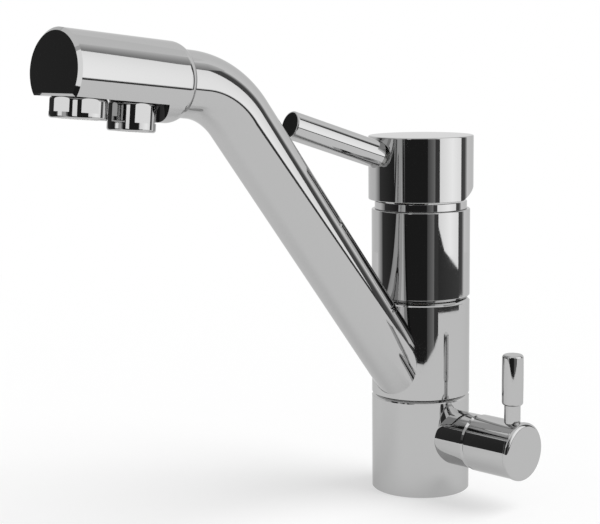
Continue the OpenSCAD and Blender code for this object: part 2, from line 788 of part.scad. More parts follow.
module mixer_spindle() color(steel) at_lever() difference() {
    union() {
        translate([0, 0, ball_z]) sphere(d = ball_d);
        translate([0, 0, ball_z]) cylinder(d = ball_d - 2 * ball_neck_step, h = pivot_z - ball_z);
        translate([0, 0, pivot_z - spindle_d / 2])
            turned(spindle_d, spindle_top - pivot_z + spindle_d / 2, edge_bevel, edge_bevel);
    }
    translate([-spindle_d, 0, pivot_z]) rotate([0, 90, 0])
        cylinder(d = pivot_d + 2 * run_clearance, h = 2 * spindle_d);
}

module moving_disc() color(ceramic) at_lever() difference() {
    translate([0, 0, moving_disc_z]) cylinder(d = moving_disc_d, h = ceramic_h);
    // the hollow that joins the inlets to the outlet
    translate([0, 0, moving_disc_z - cut]) cylinder(d = mixing_hollow_d, h = ceramic_h / 2 + cut);
}

module disc_carrier() color(plastic) at_lever() difference() {
    translate([0, 0, carrier_z]) cylinder(d = moving_disc_d, h = carrier_h);
    translate([0, 0, carrier_z + socket_floor])
        cylinder(d = ball_d + 2 * ball_clearance, h = carrier_h);
}

// What the rear relief takes away from the cap, so that it clears the sleeve when it is lifted
module rear_relief() {
    translate([0, relief_start, cap_z]) rotate([relief_angle, 0, 0])
        translate([-cap_d, 0, -cap_d]) cube([2 * cap_d, 2 * cap_d, cap_d]);
}

module handle_cap() color(chrome) at_lever() difference() {
    translate([0, 0, cap_z]) turned(cap_d, cap_h, edge_bevel / 2, edge_bevel);
    difference() {
        translate([0, 0, cap_z - cut])
            cylinder(d = cap_d - 2 * cap_wall, h = cap_h - cap_top_wall + cut);
        translate([0, 0, hub_z]) cylinder(d = hub_d, h = cap_h);
    }
    rear_relief();
    translate([0, 0, cap_z]) cylinder(d = spindle_d, h = spindle_top - cap_z);
    // hole for the lever's stud
    translate([0, 0, lever_z]) rotate([90 - lever_rise, 0, 0])
        cylinder(d = stud_shank_d, h = cap_d);
}

// The lever's stud runs through the cap's wall and its hub and clamps the spindle
module lever_stud() color(steel) difference() {
    union() {
        at_rod() cylinder(d = stud_shank_d, h = rod_start + stud_in_rod);
        difference() {
            at_rod() cylinder(d = rod_neck_d, h = rod_start);
            at_lever() cylinder(d = cap_d, h = across);
        }
    }
    at_lever() cylinder(d = spindle_d, h = across);
}

module lever_rod() color(chrome) at_rod() translate([0, 0, rod_start]) difference() {
    turned(rod_d, lever_reach - rod_start, rod_bevel / 2, rod_bevel);
    translate([0, 0, -cut]) cylinder(d = stud_shank_d, h = stud_in_rod + cut);
}

// The headwork: a barrel with side windows round the discs, and a flange in the boss
module valve_headwork() color(brass) at_valve() difference() {
    disc_end = cavity_start + 2 * valve_disc_h + tongue_h;
    disc_bore = valve_disc_d + 2 * loose_clearance;
    guide_z = valve_seal_z - valve_seal_section - groove_slack;
    guide_d = cavity_d - 2 * loose_clearance;
    union() {
        translate([0, 0, cavity_start])
            cylinder(d = disc_bore + 2 * barrel_wall, h = headwork_end - cavity_start);
        translate([0, 0, guide_z]) cylinder(d = guide_d, h = headwork_end - guide_z);
        translate([0, 0, headwork_end - headwork_flange_h])
            cylinder(d = guide_d + 2 * headwork_flange_w, h = headwork_flange_h);
    }
    translate([0, 0, cavity_start - cut]) cylinder(d = disc_bore, h = disc_end - cavity_start + cut);
    translate([0, 0, cavity_start])
        cylinder(d = valve_spindle_d + 2 * run_clearance, h = across);
    translate([0, -cavity_d, disc_end - tongue_h / 2]) rotate([-90, 0, 0])
        cylinder(d = window_d, h = 2 * cavity_d);
    translate([0, 0, valve_seal_z])
        shaft_groove(guide_d, valve_seal_section, valve_seal_section + 2 * groove_slack);
}

module valve_outer_seal() color(rubber) at_valve() translate([0, 0, valve_seal_z])
    o_ring(cavity_d - 2 * loose_clearance - valve_seal_section, valve_seal_section);

// A ceramic disc with two open sectors; a quarter turn of the moving one opens the fixed one
module valve_disc(level, middle) at_valve() translate([0, 0, level]) difference() {
    cylinder(d = valve_disc_d, h = valve_disc_h);
    for (side = [0, 180]) rotate(middle + side - sector / 2) translate([0, 0, -cut])
        rotate_extrude(angle = sector) translate([valve_disc_d / 8, 0])
            square([valve_disc_d / 4, valve_disc_h + 2 * cut]);
}
module valve_fixed_disc() color(ceramic) valve_disc(cavity_start, 90);
module valve_moving_disc() color(ceramic) valve_disc(cavity_start + valve_disc_h, 90 - knob_turn);

// A flat tongue on the spindle drives the moving disc and leaves room for the water beside it
module valve_spindle() color(brass) at_valve() translate([0, 0, cavity_start + 2 * valve_disc_h]) {
    intersection() {
        cylinder(d = valve_disc_d, h = tongue_h - disc_play);
        translate([-valve_disc_d / 2, -tongue_w / 2, 0])
            cube([valve_disc_d, tongue_w, tongue_h - disc_play]);
    }
    cylinder(d = valve_spindle_d, h = knob_start + spline_l - cavity_start - 2 * valve_disc_h);
}

module filter_knob() color(chrome) at_valve() difference() {
    translate([0, 0, knob_start]) turned(knob_d, knob_l, edge_bevel, 0);
    // hollow behind the end cap
    translate([0, 0, knob_start + spline_l]) cylinder(d = knob_d - 2 * knob_wall, h = knob_l);
    translate([0, 0, knob_start - cut]) cylinder(d = valve_spindle_d, h = knob_l);
    translate([0, 0, knob_start + spline_l / 2]) rotate([0, 90, 0])
        cylinder(d = grub_d, h = knob_d);
    translate([0, 0, stem_x]) rotate([0, -90, 0]) cylinder(d = stem_screw_d, h = knob_d);
}

module knob_end_cap() color(chrome) at_valve() {
    translate([0, 0, knob_end])
        turned(knob_d + 2 * knob_cap_proud, knob_cap_h, edge_bevel / 2, knob_cap_bevel);
    translate([0, 0, knob_end - cap_spigot_l]) ring(knob_d - 2 * knob_wall - 2 * run_clearance,
        knob_d - 4 * knob_wall, cap_spigot_l);
}

module knob_grub_screw() color(steel) at_valve()
    translate([0, 0, knob_start + spline_l / 2]) rotate([0, 90, 0])
        translate([0, 0, valve_spindle_d / 2]) difference() {
            cylinder(d = grub_d, h = grub_l);
            translate([0, 0, grub_l / 2]) cylinder(d = grub_d / 2, h = grub_l, $fn = 6);
        }

module filter_stem() color(chrome) {
    difference() {
        at_stem() cylinder(d = stem_d, h = grip_start);
        at_valve() cylinder(d = knob_d, h = across);
    }
    at_stem() translate([0, 0, knob_d / 2 - knob_wall])
        cylinder(d = stem_screw_d, h = grip_start - knob_d / 2 + knob_wall + grip_l / 2);
}

module filter_grip() color(chrome) at_stem() translate([0, 0, grip_start]) difference() {
    round_pin(grip_d, grip_l, grip_round);
    translate([0, 0, -cut]) cylinder(d = stem_screw_d, h = grip_l / 2 + cut);
}

base_body();
foot_seal();
centre_column();
column_seal_low();
column_seal_middle();
column_seal_high();
slide_ring_low();
slide_ring_high();
upper_sleeve();
cartridge_seat_plate();
seat_seal_hot();
seat_seal_cold();
seat_seal_mixed();
fixed_disc();
cartridge_housing();
lock_nut();
neck_ring();
spout_collar();
stop_pin();
spout_tube();
spout_bend();
head_neck();
head_shell();
head_end_plate();
inner_tube();
outlet_manifold();
aerator_housing_front();
aerator_insert_front();
aerator_washer_front();
aerator_housing_rear();
aerator_insert_rear();
aerator_washer_rear();
turning_carrier();
pivot_pin();
mixer_spindle();
moving_disc();
disc_carrier();
handle_cap();
lever_stud();
lever_rod();
valve_headwork();
valve_outer_seal();
valve_fixed_disc();
valve_moving_disc();
valve_spindle();
filter_knob();
knob_end_cap();
knob_grub_screw();
filter_stem();
filter_grip();
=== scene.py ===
import math

import bpy
import numpy as np
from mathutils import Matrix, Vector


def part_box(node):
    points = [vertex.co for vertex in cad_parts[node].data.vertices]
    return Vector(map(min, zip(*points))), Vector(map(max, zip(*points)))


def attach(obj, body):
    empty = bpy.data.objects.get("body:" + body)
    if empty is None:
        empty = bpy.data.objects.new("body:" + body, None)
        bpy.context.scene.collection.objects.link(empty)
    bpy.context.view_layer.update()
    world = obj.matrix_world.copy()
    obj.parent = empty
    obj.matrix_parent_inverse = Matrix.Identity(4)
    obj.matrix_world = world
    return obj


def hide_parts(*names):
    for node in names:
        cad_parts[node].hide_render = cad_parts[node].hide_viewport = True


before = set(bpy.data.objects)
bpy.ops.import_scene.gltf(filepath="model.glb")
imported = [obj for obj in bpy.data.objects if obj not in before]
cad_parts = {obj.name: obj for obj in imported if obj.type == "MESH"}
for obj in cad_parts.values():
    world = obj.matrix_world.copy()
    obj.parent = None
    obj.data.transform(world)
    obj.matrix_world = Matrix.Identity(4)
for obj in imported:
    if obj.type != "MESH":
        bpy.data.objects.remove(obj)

bl_info = {
    "name": "Three way water tap",
    "version": (1, 0, 0),
    "blender": (4, 5, 0),
    "location": "View3D > Sidebar > Water tap",
    "description": "Dresses the packed filtered water tap in rounded chrome and sets up its studio",
    "category": "Object",
}

MM = 0.001
# steps of each kind of surface round its axis, of the spout along its bend and of a card
BODY_STEPS, ROD_STEPS, KNOB_STEPS, PIPE_STEPS = 160, 96, 128, 144
BEND_STEPS, CARD_STEPS, CEILING_STEPS, CROWN_STEPS = 32, 24, 48, 14
ARC_STEP = math.radians(9)
# a turn below this many radians isn't a corner, and points closer than the weld are one
NO_TURN, WELD = 1e-6, 1e-4 * MM
# where the ceiling of the studio is, how far its floor reaches and what the camera's film measures
CEILING_RADIUS, CEILING_HEIGHT, FLOOR_REACH, FILM_WIDTH = 0.95, 1.2, 3.0, 36
# the floor's share of plain white at the tap, and the distances between which it grows to 1
WHITE_AT_TAP, WHITE_STARTS, WHITE_FULL = 0.5, 0.3, 0.8
# the floor's share of plain light in a mirror, and the strength of that light
TABLE_SHARE, TABLE_GLOW = 0.7, 0.82
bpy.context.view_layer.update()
COLLAR_LOW, COLLAR_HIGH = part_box("spout_collar")
SLEEVE_LOW, SLEEVE_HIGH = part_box("upper_sleeve")
NECK_LOW, NECK_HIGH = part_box("neck_ring")
CAP_LOW, CAP_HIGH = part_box("handle_cap")
KNOB_LOW, KNOB_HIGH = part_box("filter_knob")
KNOB_CAP_LOW, KNOB_CAP_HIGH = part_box("knob_end_cap")


def linear(code):
    """An sRGB hex colour as the linear colour that Blender works in."""
    srgb = np.array([int(code[k:k + 2], 16) for k in (1, 3, 5)]) / 255
    return (*np.where(srgb <= 0.04045, srgb / 12.92, ((srgb + 0.055) / 1.055) ** 2.4), 1.0)


def length(name, text, millimetres):
    """A length that a user can change, in metres behind and in the scene's unit in the panel."""
    return bpy.props.FloatProperty(
        name=name, description=text, default=millimetres * MM, min=0.0, unit="LENGTH", precision=5)


def angle(name, text, degrees):
    """An angle that a user can change."""
    return bpy.props.FloatProperty(
        name=name, description=text, default=math.radians(degrees), unit="ROTATION")


def colour(name, text, code):
    """A colour that a user can change, given as sRGB hex."""
    return bpy.props.FloatVectorProperty(
        name=name, description=text, default=linear(code), size=4, min=0.0, max=1.0, subtype="COLOR")


def share(name, text, value):
    """A share from 0 to 1 that a user can change."""
    return bpy.props.FloatProperty(
        name=name, description=text, default=value, min=0.0, max=1.0, subtype="FACTOR")


class TapSizes(bpy.types.PropertyGroup):
    """Sizes of the surfaces that replace turned and bent solids."""
    edge_round: length("Edge rounding", "Radius on the turned edges of body, cap and knob", 0.6)
    foot_round: length("Lower edge rounding", "Radius on the lower edges of the turned pieces", 0.35)
    joint_bevel: length("Joint bevel", "Bevel where collar and sleeve meet", 1.3)
    joint_round: length("Joint rounding", "Radius on both edges of the joint bevel", 0.25)
    column_bore: length("Collar bore", "Bore of the spout collar", 33.12)
    sleeve_bore: length("Sleeve bore", "Bore of the sleeve above its floor", 42.0)
    sleeve_floor: length("Sleeve floor", "Thickness of the floor of the sleeve", 8.0)
    neck_bore: length("Neck ring bore", "Bore of the neck ring", 37.0)
    cap_wall: length("Cap wall", "Wall of the handle cap", 2.2)
    cap_top: length("Cap top", "Thickness of the top of the cap", 3.0)
    hub_d: length("Hub diameter", "Diameter of the hub inside the cap", 16.0)
    hub_rise: length("Hub rise", "Height of the hub's lower end above the cap's edge", 7.2)
    spindle_d: length("Spindle hole", "Diameter of the spindle's hole in the hub", 8.0)
    spindle_in_cap: length("Spindle hole top", "Height of the hole's end above the cap's edge", 22.0)
    relief_start: length("Relief start", "Where the rear relief of the cap starts, behind its axis", 6.0)
    relief_angle: angle("Relief angle", "Slope of the cap's rear relief", 25.0)
    lever_turn: angle("Lever turn", "Turn of the lever about the body, to the right", 10.0)
    lever_rise: angle("Lever rise", "Rise of the lever above the level", 17.9)
    lever_z: length("Lever height", "Height of the lever's axis over the body's axis", 164.3)
    lever_start: length("Lever start", "Where the thick part of the lever starts", 29.4)
    lever_end: length("Lever end", "Reach of the lever along its axis", 84.5)
    lever_d: length("Lever diameter", "Diameter of the lever", 13.6)
    tube_d: length("Spout diameter", "Outer diameter of the spout tube", 29.6)
    tube_wall: length("Spout wall", "Wall of the spout tube", 1.6)
    tube_rise: angle("Spout rise", "Rise of the spout tube above the level", 50.2)
    tube_foot_z: length("Spout foot", "Height where the tube's axis meets the body's axis", 45.685)
    tube_l: length("Spout length", "Length of the tube from the body's axis to its bend", 195.0)
    bend_r: length("Bend radius", "Radius of the bend on its axis", 45.0)
    neck_l: length("Neck length", "Length of the straight neck between bend and head", 7.4)
    head_rise: angle("Head rise", "Rise of the spout head above the level", 5.9)
    foot_depth: length("Foot depth", "How deep the foot of the spout pipe sits in the collar", 1.5)
    lever_round: length("Lever rounding", "Radius on the edge of the lever's end", 0.9)
    valve_z: length("Valve height", "Height of the filter valve's axis", 29.5)
    knob_wall: length("Knob wall", "Wall of the hollow knob", 2.4)
    knob_cap_round: length("End cap rounding", "Radius around the face of the knob's end cap", 2.0)
    grip_round: length("Grip rounding", "Radius on both ends of the filter valve's grip", 1.4)
    grip_crown: length("Grip crown", "How much thinner the grip is at its ends, on the radius", 0.12)


class TapFinish(bpy.types.PropertyGroup):
    """Colours and polish of the tap's materials."""
    chrome: colour("Chrome", "Reflection of the polished chrome plate", "#C4C4C4")
    chrome_edge: colour("Chrome edge", "Share of a mirror's reflection that is left at its edge", "#E6E6E6")
    brass: colour("Brass", "Reflection of the machined brass", "#D6B26A")
    steel: colour("Stainless steel", "Reflection of the turned stainless steel", "#BFBFBD")
    rubber: colour("Seal rubber", "Colour of the rubber seals", "#1D1D1E")
    plastic: colour("Moulded plastic", "Colour of the white moulded acetal", "#E9E9E4")
    ceramic: colour("Ceramic", "Colour of the lapped alumina discs", "#F1EEE4")
    polish: share("Polish", "Roughness of the polished chrome", 0.035)
    haze: share("Polish haze", "Change of the chrome's roughness over its surface", 0.015)


class TapStudio(bpy.types.PropertyGroup):
    """Camera and light of the studio."""
    camera_place: bpy.props.FloatVectorProperty(
        name="Camera place", description="Place of the camera", subtype="TRANSLATION", unit="LENGTH",
        default=(0.495548, -0.582394, 0.228389))
    camera_turn: bpy.props.FloatVectorProperty(
        name="Camera turn", description="Turn of the camera", subtype="EULER", unit="ROTATION",
        default=tuple(math.radians(turn) for turn in (81.740858, 0.566982, 44.937679)))
    camera_lens: bpy.props.FloatProperty(
        name="Lens", description="Focal length on a sensor 36 mm wide", default=90.409, unit="CAMERA")
    room_light: bpy.props.FloatProperty(
        name="Room light", description="Strength of the even light from all round", default=0.54, min=0.0)
    lamp_strength: bpy.props.FloatProperty(
        name="Lamp strength", description="Light of the soft lamp behind the tap, on the right, in W/m2",
        default=2.2, min=0.0)
    lamp_softness: angle("Lamp softness", "Width of the soft lamp as the tap sees it", 50.0)
    lamp_turn: bpy.props.FloatVectorProperty(
        name="Lamp turn", description="Turn of the soft lamp", subtype="EULER", unit="ROTATION",
        default=(math.radians(42.0), 0.0, math.radians(130.0)))
    ceiling_glow: bpy.props.FloatProperty(
        name="Ceiling", description="Brightness of the ceiling in the mirrors", default=0.83, min=0.0)
    floor_colour: colour("Floor", "Colour of the pale floor", "#F8F8F8")


def frame_axes(origin, along, across):
    """A local frame as (origin, x, y, z): z runs along, y is as near to across as it can be."""
    z = np.array(along, float) / np.linalg.norm(along)
    x = np.cross(np.array(across, float), z)
    x /= np.linalg.norm(x)
    return np.array(origin, float), x, np.cross(z, x), z


def rounded(corners):
    """A profile in the (radius, height) plane as points and outward normals.

    corners holds (radius, height, rounding) in the order that keeps the metal on the left.
    A corner's rounding is an arc tangent to both sides: centre = corner + rounding / cos(turn / 2)
    along the bisector, and its normals turn evenly from one side's to the other's. A rounding of
    0 gives the corner twice, once with each side's normal, which keeps it sharp.
    """
    place = np.array([corner[:2] for corner in corners], float)
    way = np.diff(place, axis=0)
    way /= np.linalg.norm(way, axis=1)[:, None]
    out = np.stack([way[:, 1], -way[:, 0]], axis=1)
    points, normals = [place[:1]], [out[:1]]
    for k in range(1, len(place) - 1):
        before, after, radius = out[k - 1], out[k], corners[k][2]
        turn = math.atan2(before[0] * after[1] - before[1] * after[0], before @ after)
        if radius == 0 or abs(turn) < NO_TURN:
            points.append(place[[k, k]])
            normals.append(np.array([before, after]))
            continue
        count = max(3, int(abs(turn) / ARC_STEP) + 1)
        start = math.atan2(before[1], before[0])
        swing = start + turn * np.linspace(0, 1, count)
        arc = np.stack([np.cos(swing), np.sin(swing)], axis=1)
        side = math.copysign(1.0, turn)
        middle = before + after
        centre = place[k] - side * radius * middle / (1 + before @ after)
        points.append(centre + side * radius * arc)
        normals.append(arc)
    points.append(place[-1:])
    normals.append(out[-1:])
    return np.concatenate(points), np.concatenate(normals)


def ring_profile(corners):
    """A closed profile, which starts and ends halfway between its last and its first corner."""
    first, last = np.array(corners[0][:2]), np.array(corners[-1][:2])
    middle = (*((first + last) / 2), 0)
    return rounded([middle, *corners, middle])


def revolve(profile, axes, count=BODY_STEPS):
    """Grid of a profile turned about an axis: P = origin + r (cos v x + sin v y) + h z, 0 <= v <= 2 pi."""
    points, normals = profile
    origin, x, y, z = axes
    v = np.linspace(0, 2 * math.pi, count + 1)
    v[-1] = 0
    ray = np.cos(v)[:, None] * x + np.sin(v)[:, None] * y
    place = origin + points[:, None, :1] * ray + points[:, None, 1:] * z
    return place, normals[:, None, :1] * ray + normals[:, None, 1:] * z


def skin(name, place, normals, body, slot, *nodes):
    """Makes a piece of one or more grids of points with their exact normals.

    Each cell of a grid is a face. Equal points are welded, so seams and poles close, and a cell
    that shrinks to an edge or a point there is left out. The faces must enclose a positive volume.
    """
    place = place if isinstance(place, list) else [place]
    normals = normals if isinstance(normals, list) else [normals]
    cells, base = [], 0
    for grid in place:
        rows, columns = grid.shape[:2]
        index = base + np.arange(rows * columns).reshape(rows, columns)
        cells.append(np.stack([
            index[:-1, :-1], index[:-1, 1:], index[1:, 1:], index[1:, :-1]], axis=-1).reshape(-1, 4))
        base += rows * columns
    cells = np.concatenate(cells)
    points = np.concatenate([grid.reshape(-1, 3) for grid in place])
    facing = np.concatenate([grid.reshape(-1, 3) for grid in normals])
    key = np.round(points / WELD).astype(np.int64)
    kept, welded = np.unique(key, axis=0, return_index=True, return_inverse=True)[1:]
    points = points[kept]
    corners = welded.reshape(-1)[cells]
    real = corners != np.roll(corners, -1, axis=1)
    sound = real.sum(axis=1) > 2
    corners, cells, real = corners[sound], cells[sound], real[sound]
    tetra = points[corners]
    volume = (np.einsum("ij,ij->i", tetra[:, 0], np.cross(tetra[:, 1], tetra[:, 2])) +
              np.einsum("ij,ij->i", tetra[:, 0], np.cross(tetra[:, 2], tetra[:, 3]))).sum() / 6
    if volume <= 0:
        raise ValueError(f"{name} is inside out: its volume is {volume * 1e9:.1f} mm3")
    mesh = bpy.data.meshes.new(name)
    mesh.vertices.add(len(points))
    mesh.vertices.foreach_set("co", points.ravel())
    total = real.sum(axis=1)
    mesh.loops.add(int(total.sum()))
    mesh.loops.foreach_set("vertex_index", corners[real].astype(np.int32))
    mesh.polygons.add(len(total))
    mesh.polygons.foreach_set("loop_start", (np.cumsum(total) - total).astype(np.int32))
    mesh.polygons.foreach_set("use_smooth", np.ones(len(total), bool))
    mesh.update(calc_edges=True)
    if mesh.validate():
        raise ValueError(f"{name} has faces that Blender refuses")
    mesh.normals_split_custom_set(facing[cells[real]].tolist())
    piece = bpy.data.objects.new(name, mesh)
    bpy.context.scene.collection.objects.link(piece)
    mesh.materials.append(bpy.data.materials[MATERIAL_OF_SLOT[slot]])
    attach(piece, body)
    if nodes:
        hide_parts(*nodes)
    return piece


def upright(z=0.0):
    """The frame of the tap's body: z up, y to the rear."""
    return frame_axes((0, 0, z), (0, 0, 1), (0, 1, 0))


def lever_axes(sizes):
    """The frame of the lever: its z runs out along the lever, its y is as near to down as it can be."""
    turn, rise = sizes.lever_turn, sizes.lever_rise
    along = (-math.sin(turn) * math.cos(rise), -math.cos(turn) * math.cos(rise), math.sin(rise))
    return frame_axes((0, 0, sizes.lever_z), along, (0, 0, -1))


def add(tree, kind, inputs=(), **settings):
    """Adds a shader node with its settings, and gives each input its value or the output it reads."""
    node = tree.nodes.new(kind)
    for name, value in settings.items():
        setattr(node, name, value)
    for name, value in dict(inputs).items():
        if isinstance(value, bpy.types.NodeSocket):
            tree.links.new(value, node.inputs[name])
        else:
            node.inputs[name].default_value = value
    return node


def new_material(name):
    """An empty node material with its output, and the Object coordinates that its patterns read."""
    material = bpy.data.materials.new(name)
    material.use_nodes = True
    tree = material.node_tree
    tree.nodes.clear()
    return material, tree, add(tree, "ShaderNodeTexCoord").outputs["Object"]


def finish_material(tree, shader):
    """Links a shader to the material's output."""
    add(tree, "ShaderNodeOutputMaterial", {"Surface": shader.outputs[0]})


def polished_chrome(finish):
    """Bright chrome plate over polished brass: a mirror with a trace of haze and waviness."""
    material, tree, where = new_material("polished_chrome_plate")
    # wiping and buffing marks about 12 mm long change how sharp the mirror is
    haze = add(tree, "ShaderNodeTexNoise", {"Vector": where, "Scale": 1 / (12 * MM), "Detail": 3.0})
    polish = add(tree, "ShaderNodeMapRange", {
        "Value": haze.outputs["Fac"], "From Min": 0.3, "From Max": 0.7,
        "To Min": finish.polish - finish.haze, "To Max": finish.polish + finish.haze})
    # the buffed brass under the plate waves by less than a micrometre over about 7 mm
    wave = add(tree, "ShaderNodeTexNoise", {"Vector": where, "Scale": 1 / (7 * MM), "Detail": 1.0})
    bump = add(tree, "ShaderNodeBump", {
        "Height": wave.outputs["Fac"], "Strength": 0.25, "Distance": 0.006 * MM})
    shader = add(tree, "ShaderNodeBsdfPrincipled", {
        "Base Color": finish.chrome, "Metallic": 1.0, "Specular Tint": finish.chrome_edge,
        "Roughness": polish.outputs["Result"],
        "Normal": bump.outputs["Normal"]})
    finish_material(tree, shader)
    return material


def machined_metal(name, tint, roughness, feed):
    """Turned metal: fine tool marks, one feed of the lathe apart, in a half polished surface."""
    material, tree, where = new_material(name)
    # at a scale of 1 the bands of a wave are pi / 10 apart
    marks = add(tree, "ShaderNodeTexWave", {
        "Vector": where, "Scale": math.pi / 10 / feed, "Distortion": 1.5, "Detail": 2.0,
        "Detail Scale": 1.5}, bands_direction="Z")
    grain = add(tree, "ShaderNodeTexNoise", {"Vector": where, "Scale": 1 / (2 * MM), "Detail": 4.0})
    blur = add(tree, "ShaderNodeMapRange", {
        "Value": grain.outputs["Fac"], "To Min": roughness * 0.7, "To Max": roughness * 1.3})
    bump = add(tree, "ShaderNodeBump", {
        "Height": marks.outputs["Fac"], "Strength": 0.4, "Distance": 0.01 * MM})
    shader = add(tree, "ShaderNodeBsdfPrincipled", {
        "Base Color": tint, "Metallic": 1.0, "Roughness": blur.outputs["Result"],
        "Normal": bump.outputs["Normal"]})
    finish_material(tree, shader)
    return material


def moulded_rubber(finish):
    """Moulded EPDM seal rubber: near black, matt, with the fine grain of its mould."""
    material, tree, where = new_material("moulded_epdm_rubber")
    grain = add(tree, "ShaderNodeTexNoise", {"Vector": where, "Scale": 1 / (0.4 * MM), "Detail": 4.0})
    blur = add(tree, "ShaderNodeMapRange", {
        "Value": grain.outputs["Fac"], "To Min": 0.5, "To Max": 0.72})
    bump = add(tree, "ShaderNodeBump", {
        "Height": grain.outputs["Fac"], "Strength": 0.5, "Distance": 0.02 * MM})
    shader = add(tree, "ShaderNodeBsdfPrincipled", {
        "Base Color": finish.rubber, "Roughness": blur.outputs["Result"], "IOR": 1.5,
        "Normal": bump.outputs["Normal"]})
    finish_material(tree, shader)
    return material


def moulded_acetal(finish):
    """Injection moulded white acetal: a waxy half gloss with faint flow marks."""
    material, tree, where = new_material("moulded_white_acetal")
    flow = add(tree, "ShaderNodeTexNoise", {"Vector": where, "Scale": 1 / (3 * MM), "Detail": 2.0})
    blur = add(tree, "ShaderNodeMapRange", {
        "Value": flow.outputs["Fac"], "To Min": 0.32, "To Max": 0.46})
    bump = add(tree, "ShaderNodeBump", {
        "Height": flow.outputs["Fac"], "Strength": 0.3, "Distance": 0.02 * MM})
    shader = add(tree, "ShaderNodeBsdfPrincipled", {
        "Base Color": finish.plastic, "Roughness": blur.outputs["Result"], "IOR": 1.48,
        "Subsurface Weight": 0.15, "Subsurface Radius": (1.0, 0.9, 0.8), "Subsurface Scale": 0.8 * MM,
        "Normal": bump.outputs["Normal"]})
    finish_material(tree, shader)
    return material


def lapped_ceramic(finish):
    """Lapped alumina ceramic: dense, off white and smooth, with fine pores."""
    material, tree, where = new_material("lapped_alumina_ceramic")
    pores = add(tree, "ShaderNodeTexVoronoi", {"Vector": where, "Scale": 1 / (0.3 * MM)})
    blur = add(tree, "ShaderNodeMapRange", {
        "Value": pores.outputs["Distance"], "From Max": 0.5, "To Min": 0.3, "To Max": 0.12})
    shader = add(tree, "ShaderNodeBsdfPrincipled", {
        "Base Color": finish.ceramic, "Roughness": blur.outputs["Result"], "IOR": 1.76})
    finish_material(tree, shader)
    return material


MATERIAL_OF_SLOT = {
    "chrome": "polished_chrome_plate", "brass": "turned_brass", "steel": "turned_stainless_steel",
    "rubber": "moulded_epdm_rubber", "white_plastic": "moulded_white_acetal",
    "ceramic": "lapped_alumina_ceramic",
}


class TAP_OT_finishes(bpy.types.Operator):
    """Make the materials and put them on every solid of the tap"""
    bl_idname = "tap.finishes"
    bl_label = "Finishes of the solids"

    def execute(self, context):
        finish = context.scene.tap_finish
        polished_chrome(finish)
        machined_metal("turned_brass", finish.brass, 0.22, 0.24 * MM)
        machined_metal("turned_stainless_steel", finish.steel, 0.25, 0.2 * MM)
        moulded_rubber(finish)
        moulded_acetal(finish)
        lapped_ceramic(finish)
        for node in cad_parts.values():
            for slot in node.material_slots:
                slot.material = bpy.data.materials[MATERIAL_OF_SLOT[slot.material.name.split(".")[0]]]
        return {"FINISHED"}


class TAP_OT_body(bpy.types.Operator):
    """Round the edges of the spout collar, the upper sleeve and the neck ring"""
    bl_idname = "tap.body"
    bl_label = "Collar, sleeve and neck ring"

    def execute(self, context):
        sizes = context.scene.tap_sizes
        edge, foot = sizes.edge_round, sizes.foot_round
        bevel, soft = sizes.joint_bevel, sizes.joint_round
        collar_r, sleeve_r, neck_r = SLEEVE_HIGH.x, SLEEVE_HIGH.x, NECK_HIGH.x
        bore = sizes.column_bore / 2
        turned = {
            "collar_skin": ("spout", "spout_collar", [
                (bore, COLLAR_HIGH.z, foot), (bore, COLLAR_LOW.z, foot),
                (collar_r, COLLAR_LOW.z, foot), (collar_r, COLLAR_HIGH.z - bevel, soft),
                (collar_r - bevel, COLLAR_HIGH.z, soft)]),
            "sleeve_skin": ("tap_body", "upper_sleeve", [
                (sizes.sleeve_bore / 2, SLEEVE_HIGH.z, foot),
                (sizes.sleeve_bore / 2, SLEEVE_LOW.z + sizes.sleeve_floor, 0),
                (0, SLEEVE_LOW.z + sizes.sleeve_floor, 0), (0, SLEEVE_LOW.z, 0),
                (sleeve_r - bevel, SLEEVE_LOW.z, soft), (sleeve_r, SLEEVE_LOW.z + bevel, soft),
                (sleeve_r, SLEEVE_HIGH.z, edge)]),
            "neck_ring_skin": ("tap_body", "neck_ring", [
                (sizes.neck_bore / 2, NECK_HIGH.z, foot), (sizes.neck_bore / 2, NECK_LOW.z, foot),
                (neck_r, NECK_LOW.z, foot), (neck_r, NECK_HIGH.z, foot)]),
        }
        for name, (body, node, corners) in turned.items():
            skin(name, *revolve(ring_profile(corners), upright()), body, "chrome", node)
        return {"FINISHED"}


